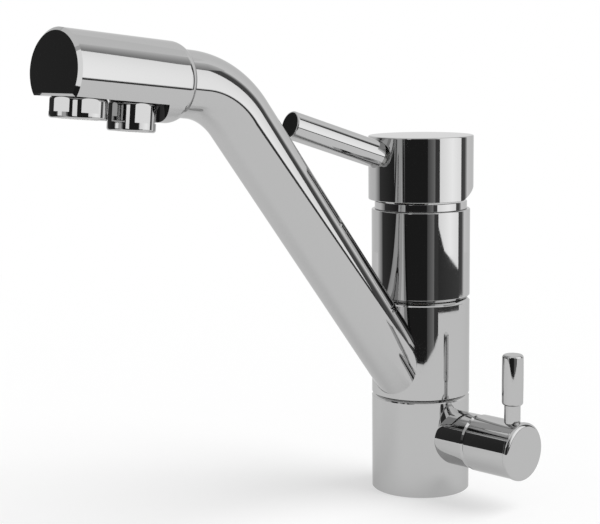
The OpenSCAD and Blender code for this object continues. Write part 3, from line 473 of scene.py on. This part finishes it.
class TAP_OT_cap(bpy.types.Operator):
    """Make the handle cap with rounded edges, its hub and the relief at its rear"""
    bl_idname = "tap.cap"
    bl_label = "Handle cap"

    def execute(self, context):
        sizes = context.scene.tap_sizes
        low, high, radius = CAP_LOW.z, CAP_HIGH.z, (CAP_HIGH.x - CAP_LOW.x) / 2
        inner, hub, hole = radius - sizes.cap_wall, sizes.hub_d / 2, sizes.spindle_d / 2
        ceiling = high - sizes.cap_top
        axes = frame_axes((0, 0, 0), (0, 0, 1), (math.sin(sizes.lever_turn), math.cos(sizes.lever_turn), 0))
        place, normals = revolve(rounded([
            (0, low + sizes.spindle_in_cap, 0), (hole, low + sizes.spindle_in_cap, 0),
            (hole, low + sizes.hub_rise, sizes.foot_round), (hub, low + sizes.hub_rise, sizes.foot_round),
            (hub, ceiling, 0), (inner, ceiling, 0), (inner, low, sizes.foot_round),
            (radius, low, sizes.foot_round), (radius, high, sizes.edge_round), (0, high, 0)]), axes)
        # the relief lifts the edge by (y - start) tan(angle) behind its start, and tilts its face
        back, up = axes[2], axes[3]
        lift = np.maximum(0, (place @ back - sizes.relief_start) * math.tan(sizes.relief_angle))
        lift[place[..., 2] > low + sizes.cap_wall] = 0
        slope = np.where(lift > 0, sizes.relief_angle, 0)[..., None]
        rise = normals @ up
        down = np.sin(slope) * back - np.cos(slope) * up
        normals = normals - rise[..., None] * (up + down)
        normals /= np.linalg.norm(normals, axis=2)[..., None]
        skin("handle_cap_skin", place + lift[..., None] * up, normals, "mixer_lift", "chrome", "handle_cap")
        return {"FINISHED"}


class TAP_OT_lever(bpy.types.Operator):
    """Make the lever as a turned rod with rounded ends"""
    bl_idname = "tap.lever"
    bl_label = "Lever"

    def execute(self, context):
        sizes = context.scene.tap_sizes
        radius = sizes.lever_d / 2
        profile = rounded([
            (0, sizes.lever_start, 0), (radius, sizes.lever_start, sizes.lever_round / 2),
            (radius, sizes.lever_end, sizes.lever_round), (0, sizes.lever_end, 0)])
        lever = revolve(profile, lever_axes(sizes), ROD_STEPS)
        skin("lever_skin", *lever, "mixer_lift", "chrome", "lever_rod")
        return {"FINISHED"}


class TAP_OT_spout(bpy.types.Operator):
    """Make the spout tube and its bend as one pipe whose foot fits the round collar"""
    bl_idname = "tap.spout"
    bl_label = "Spout pipe"

    def execute(self, context):
        sizes = context.scene.tap_sizes
        rise, turn = sizes.tube_rise, sizes.tube_rise - sizes.head_rise
        origin, x, y, z = frame_axes(
            (0, 0, sizes.tube_foot_z), (0, -math.cos(rise), math.sin(rise)), (0, 0, -1))
        v = np.linspace(0, 2 * math.pi, PIPE_STEPS + 1)
        v[-1] = 0
        swing = turn * np.linspace(0, 1, BEND_STEPS + 1)[:, None]
        # the saddle on the collar ends before 35 percent of the straight length
        straight = np.linspace(0.35, 1, 5)[:, None] * sizes.tube_l
        end = math.cos(turn) * z + math.sin(turn) * y
        # the centre line C(s) runs straight for tube_l, turns by angle s about a centre bend_r below
        # it, C = end of tube + bend_r (sin s z + (1 - cos s) y), and ends in the head's straight neck
        centre = np.concatenate([
            origin + straight * z,
            origin + sizes.tube_l * z + sizes.bend_r * (np.sin(swing) * z + (1 - np.cos(swing)) * y)[1:]])
        centre = np.concatenate([centre, centre[-1:] + sizes.neck_l * end])
        down = np.concatenate([0 * straight * z + y, (np.cos(swing) * y - np.sin(swing) * z)[1:]])
        down = np.concatenate([down, down[-1:]])

        def wall(radius):
            """The pipe's surface P = C(s) + r (cos v x + sin v y(s)), from its saddle on.

            The saddle is where the straight line of angle v meets the cylinder foot_r round the body.
            """
            out = np.cos(v)[:, None] * x + np.sin(v)[:, None] * down[:, None]
            foot_r = SLEEVE_HIGH.x - sizes.foot_depth
            reach = np.sqrt(foot_r ** 2 - (radius * np.cos(v)) ** 2)
            start = (reach - radius * np.sin(v) * math.sin(rise)) / math.cos(rise)
            foot = origin + start[:, None] * z + radius * out[0]
            place = np.concatenate([foot[None], centre[:, None] + radius * out])
            return place, np.concatenate([out[:1], out])

        outer, outward = wall(sizes.tube_d / 2)
        inner, inward = wall(sizes.tube_d / 2 - sizes.tube_wall)
        inner, inward = inner[::-1], -inward[::-1]
        place = [np.stack([inner[-1], outer[0]]), outer, np.stack([outer[-1], inner[0]]), inner]
        normals = [0 * place[0] - z, outward, 0 * place[2] + end, inward]
        skin("spout_pipe", place, normals, "spout", "chrome", "spout_tube", "spout_bend", "head_neck")
        return {"FINISHED"}


class TAP_OT_valve(bpy.types.Operator):
    """Make the end cap of the filter valve's knob and its grip with rounded edges"""
    bl_idname = "tap.valve"
    bl_label = "Knob end cap and grip"

    def execute(self, context):
        sizes = context.scene.tap_sizes
        axes = frame_axes((0, 0, sizes.valve_z), (1, 0, 0), (0, 0, 1))
        radius = (KNOB_CAP_HIGH.z - KNOB_CAP_LOW.z) / 2
        knob_r = (KNOB_HIGH.z - KNOB_LOW.z) / 2
        ring_r = knob_r - sizes.knob_wall
        profile = rounded([
            (0, KNOB_HIGH.x, 0), (ring_r - sizes.knob_wall, KNOB_HIGH.x, 0),
            (ring_r - sizes.knob_wall, KNOB_CAP_LOW.x, 0), (ring_r, KNOB_CAP_LOW.x, 0),
            (ring_r, KNOB_HIGH.x, 0), (radius, KNOB_HIGH.x, sizes.foot_round),
            (radius, KNOB_CAP_HIGH.x, sizes.knob_cap_round), (0, KNOB_CAP_HIGH.x, 0)])
        knob_end = revolve(profile, axes, KNOB_STEPS)
        skin("knob_end_skin", *knob_end, "filter_handle", "chrome", "knob_end_cap")
        low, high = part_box("filter_grip")
        grip_r = (high.y - low.y) / 2
        heights = np.linspace(low.z + 2 * sizes.grip_round, high.z - 2 * sizes.grip_round,
                              CROWN_STEPS + 1)
        points, normals = rounded([
            (0, low.z, 0), (grip_r, low.z, sizes.grip_round), *((grip_r, height, 0) for height in heights),
            (grip_r, high.z, sizes.grip_round), (0, high.z, 0)])
        # the crown takes crown (h / half)^2 off the radius, with h from the middle of the grip
        half = (high.z - low.z) / 2
        away = (points[:, 1] - low.z) / half - 1
        points[:, 0] -= sizes.grip_crown * away ** 2 * points[:, 0] / grip_r
        normals[:, 1] += 2 * sizes.grip_crown / half * away * normals[:, 0]
        normals /= np.linalg.norm(normals, axis=1)[:, None]
        axes = frame_axes(((low.x + high.x) / 2, 0, 0), (0, 0, 1), (0, 1, 0))
        grip = revolve((points, normals), axes, ROD_STEPS)
        skin("grip_skin", *grip, "filter_handle", "chrome", "filter_grip")
        return {"FINISHED"}


def card(name, start, end, radius, low, high, left, right):
    """A glowing card bent round the tap, seen only in reflections.

    Its points are (r sin a, -r cos a, h), with the angle a from start to end in degrees and the
    height h from low to high. The distance r and high may each be a pair, for the left and the
    right end. Its brightness goes evenly from left to right.
    """
    count = CARD_STEPS + 1
    a = np.radians(np.linspace(start, end, count))
    away, top = (np.linspace(*(value if isinstance(value, tuple) else (value, value)), count)
                 for value in (radius, high))
    points = np.stack([away * np.sin(a), -away * np.cos(a), np.full(count, low)], axis=-1)
    points = np.concatenate([points, points * (1, 1, 0) + top[:, None] * (0, 0, 1)])
    index = np.arange(2 * count).reshape(2, count)
    faces = np.stack([index[0, :-1], index[0, 1:], index[1, 1:], index[1, :-1]], axis=-1)
    return glowing(name, points, faces, np.tile(np.linspace(left, right, count), 2))


def glowing(name, points, faces, glow):
    """A piece of the stage that only mirrors see, with a brightness for each of its points."""
    mesh = bpy.data.meshes.new(name)
    mesh.from_pydata(points.tolist(), [], faces.tolist())
    mesh.attributes.new("glow", "FLOAT", "POINT").data.foreach_set("value", glow.astype(np.float32))
    mesh.materials.append(bpy.data.materials["studio_card"])
    piece = bpy.data.objects.new(name, mesh)
    bpy.context.scene.collection.objects.link(piece)
    piece.visible_camera = piece.visible_diffuse = piece.visible_shadow = False
    piece.visible_transmission = piece.visible_volume_scatter = False
    return piece


# Cards of the studio: name, first and last angle from the front (to the right), distance, lower
# and upper height in metres, brightness at the left and at the right end. Those named high lie
# above what body and cap mirror, so that head, aerators and lever have lights of their own.
CARDS = (
    ("card_left_edge", -76, -58, 0.42, 0.0, 0.34, 0.76, 0.19),
    ("card_left_dark", -58, -17, 0.40, 0.0, 0.34, 0.05, 0.02),
    ("card_left_high", -68, -57, 0.39, 0.2, 0.36, 0.02, 0.02),
    ("card_slit_left", -17, -5, 0.40, 0.0, 0.34, 0.28, 0.26),
    ("card_slit_high", -14, -5, 0.39, 0.16, 0.34, 1.20, 1.20),
    ("card_slit", -5, 3, 0.40, 0.0, 0.34, 0.56, 0.56),
    ("card_slit_right", 3, 7, 0.40, 0.0, 0.34, 0.28, 0.06),
    ("card_dark", 7, 30, (0.40, 0.35), 0.0, 0.34, 0.018, 0.018),
    ("card_camera", 30, 47, (0.35, 0.345), 0.0, 0.34, 0.018, 0.018),
    ("card_dark_end", 47, 55, (0.345, 0.355), 0.0, 0.34, 0.018, 0.018),
    ("card_rim_high", 12, 20, 0.335, 0.167, 0.36, 1.15, 1.15),
    ("card_right_grey", 55, 71, (0.355, 0.40), 0.0, 0.165, 0.08, 0.24),
    ("card_right_shade", 71, 81, (0.40, 0.45), 0.0, 0.165, 0.06, 0.06),
    ("table_end", 80, 96, 0.55, 0.0, (0.076, 0.053), 0.04, 0.05),
    ("table_edge", 96, 140, 0.55, 0.0, (0.053, 0.034), 0.05, 0.07),
    ("strip_dark", 137, 150, 0.62, 0.0, 0.90, 0.08, 0.10),
    ("strip_edge", 150, 158, 0.62, 0.0, 0.90, 0.12, 0.70),
    ("strip_high", 135, 163, 0.61, 0.66, 1.15, 0.26, 0.74),
    ("softbox_right", 76, 112, 0.80, 0.0, 1.00, 1.10, 1.42),
    ("softbox_rear", 112, 140, 0.80, 0.0, 1.00, 1.42, 1.20),
    ("wall_back", 140, 192, 0.90, 0.0, 1.20, 0.97, 0.88),
    ("wall_left", 192, 240, 0.90, 0.0, 1.20, 0.88, 0.92),
    ("wall_side", 240, 284, 0.90, 0.0, 1.20, 0.92, 0.74),
    ("wall_front", 284, 444, 0.90, 0.0, 1.20, 0.55, 0.55),
)


class TAP_OT_studio(bpy.types.Operator):
    """Set up the pale floor, the cards that the chrome mirrors, the soft light and the camera"""
    bl_idname = "tap.studio"
    bl_label = "Studio"

    def execute(self, context):
        scene, studio = context.scene, context.scene.tap_studio
        scene.view_settings.view_transform = "Standard"
        self.make_world(scene, studio)
        self.make_floor(studio)
        tree = new_material("studio_card")[1]
        glow = add(tree, "ShaderNodeAttribute", attribute_name="glow")
        finish_material(tree, add(tree, "ShaderNodeEmission", {"Strength": glow.outputs["Fac"]}))
        for row in CARDS:
            card(*row)
        # a ceiling over the cards
        corners = np.arange(CEILING_STEPS)
        a = 2 * math.pi / CEILING_STEPS * corners
        rim = np.stack([CEILING_RADIUS * np.sin(a), CEILING_RADIUS * np.cos(a),
                        np.full(CEILING_STEPS, CEILING_HEIGHT)], axis=-1)
        glowing("ceiling", rim, corners[None], np.full(CEILING_STEPS, studio.ceiling_glow))
        lamp_data = bpy.data.lights.new("soft_lamp", "SUN")
        lamp_data.energy, lamp_data.angle = studio.lamp_strength, studio.lamp_softness
        lamp = bpy.data.objects.new("soft_lamp", lamp_data)
        lamp.rotation_euler = studio.lamp_turn
        lamp.visible_glossy = False
        scene.collection.objects.link(lamp)
        camera_data = bpy.data.cameras.new("camera")
        camera_data.lens, camera_data.sensor_width = studio.camera_lens, FILM_WIDTH
        camera_data.clip_start, camera_data.clip_end = 0.01, 20
        camera = bpy.data.objects.new("camera", camera_data)
        camera.location, camera.rotation_euler = studio.camera_place, studio.camera_turn
        scene.collection.objects.link(camera)
        scene.camera = camera
        return {"FINISHED"}

    def make_world(self, scene, studio):
        """A white room: plain white where the camera, a mirror or glass sees it, softer as a light."""
        world = bpy.data.worlds.new("studio_room")
        world.use_nodes = True
        scene.world = world
        tree = world.node_tree
        tree.nodes.clear()
        path = add(tree, "ShaderNodeLightPath")
        seen = add(tree, "ShaderNodeMath", {
            0: path.outputs["Is Camera Ray"], 1: path.outputs["Is Glossy Ray"]}, operation="ADD")
        shown = add(tree, "ShaderNodeMath", {
            0: seen.outputs[0], 1: path.outputs["Is Transmission Ray"]}, operation="ADD", use_clamp=True)
        light = add(tree, "ShaderNodeBackground", {"Color": (1, 1, 1, 1), "Strength": studio.room_light})
        white = add(tree, "ShaderNodeBackground", {"Color": (1, 1, 1, 1), "Strength": 1.0})
        both = add(tree, "ShaderNodeMixShader", {
            0: shown.outputs[0], 1: light.outputs[0], 2: white.outputs[0]})
        add(tree, "ShaderNodeOutputWorld", {"Surface": both.outputs[0]})

    def make_floor(self, studio):
        """A pale matt floor that fades into the white background.

        What the camera sees of it is WHITE_AT_TAP plain white at the tap, so that its shadow stays
        soft, and all of it from WHITE_FULL on. The mirrors see it a little darker, as a lit table.
        """
        material, tree, where = new_material("pale_matt_board")
        path = add(tree, "ShaderNodeLightPath")
        grain = add(tree, "ShaderNodeTexNoise", {"Vector": where, "Scale": 1 / (30 * MM), "Detail": 2.0})
        tone = add(tree, "ShaderNodeMapRange", {
            "Value": grain.outputs["Fac"], "To Min": 0.995, "To Max": 1.0})
        tint = add(tree, "ShaderNodeVectorMath", {
            0: studio.floor_colour[:3], "Scale": tone.outputs["Result"]}, operation="SCALE")
        board = add(tree, "ShaderNodeBsdfDiffuse", {"Color": tint.outputs[0]})
        reach = add(tree, "ShaderNodeVectorMath", {0: where}, operation="LENGTH")
        fade = add(tree, "ShaderNodeMapRange", {
            "Value": reach.outputs["Value"], "From Min": WHITE_STARTS, "From Max": WHITE_FULL,
            "To Min": WHITE_AT_TAP, "To Max": 1.0})
        seen = add(tree, "ShaderNodeMath", {
            0: path.outputs["Is Camera Ray"], 1: fade.outputs["Result"]}, operation="MULTIPLY")
        part = add(tree, "ShaderNodeMath", {
            0: path.outputs["Is Glossy Ray"], 1: TABLE_SHARE, 2: seen.outputs[0]}, operation="MULTIPLY_ADD")
        plain = add(tree, "ShaderNodeMapRange", {
            "Value": path.outputs["Is Camera Ray"], "To Min": TABLE_GLOW, "To Max": 1.0})
        white = add(tree, "ShaderNodeEmission", {"Strength": plain.outputs["Result"]})
        finish_material(tree, add(tree, "ShaderNodeMixShader", {
            0: part.outputs[0], 1: board.outputs[0], 2: white.outputs[0]}))
        mesh = bpy.data.meshes.new("floor")
        corners = [(x * FLOOR_REACH, y * FLOOR_REACH, 0) for x, y in ((-1, -1), (1, -1), (1, 1), (-1, 1))]
        mesh.from_pydata(corners, [], [(0, 1, 2, 3)])
        mesh.materials.append(material)
        floor = bpy.data.objects.new("floor", mesh)
        bpy.context.scene.collection.objects.link(floor)


class TAP_PT_panel(bpy.types.Panel):
    """Sizes, finishes and studio of the tap, with a button for each step"""
    bl_idname = "TAP_PT_panel"
    bl_label = "Three way water tap"
    bl_space_type = "VIEW_3D"
    bl_region_type = "UI"
    bl_category = "Water tap"

    def draw(self, context):
        for values in (context.scene.tap_sizes, context.scene.tap_finish, context.scene.tap_studio):
            box = self.layout.box()
            for name in values.__annotations__:
                box.prop(values, name)
        for step in STEPS:
            self.layout.operator("tap." + step)


STEPS = ("finishes", "body", "cap", "lever", "spout", "valve", "studio")
CLASSES = (TapSizes, TapFinish, TapStudio, TAP_OT_finishes, TAP_OT_body, TAP_OT_cap, TAP_OT_lever,
           TAP_OT_spout, TAP_OT_valve, TAP_OT_studio, TAP_PT_panel)


def register():
    """Registers the classes and gives the scene their values."""
    for kind in CLASSES:
        bpy.utils.register_class(kind)
    bpy.types.Scene.tap_sizes = bpy.props.PointerProperty(type=TapSizes)
    bpy.types.Scene.tap_finish = bpy.props.PointerProperty(type=TapFinish)
    bpy.types.Scene.tap_studio = bpy.props.PointerProperty(type=TapStudio)


def unregister():
    """Takes the values and the classes away again."""
    del bpy.types.Scene.tap_studio, bpy.types.Scene.tap_finish, bpy.types.Scene.tap_sizes
    for kind in reversed(CLASSES):
        bpy.utils.unregister_class(kind)


def main():
    """Registers the add-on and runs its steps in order."""
    register()
    for step in STEPS:
        getattr(bpy.ops.tap, step)()


if __name__ == "__main__":
    main()
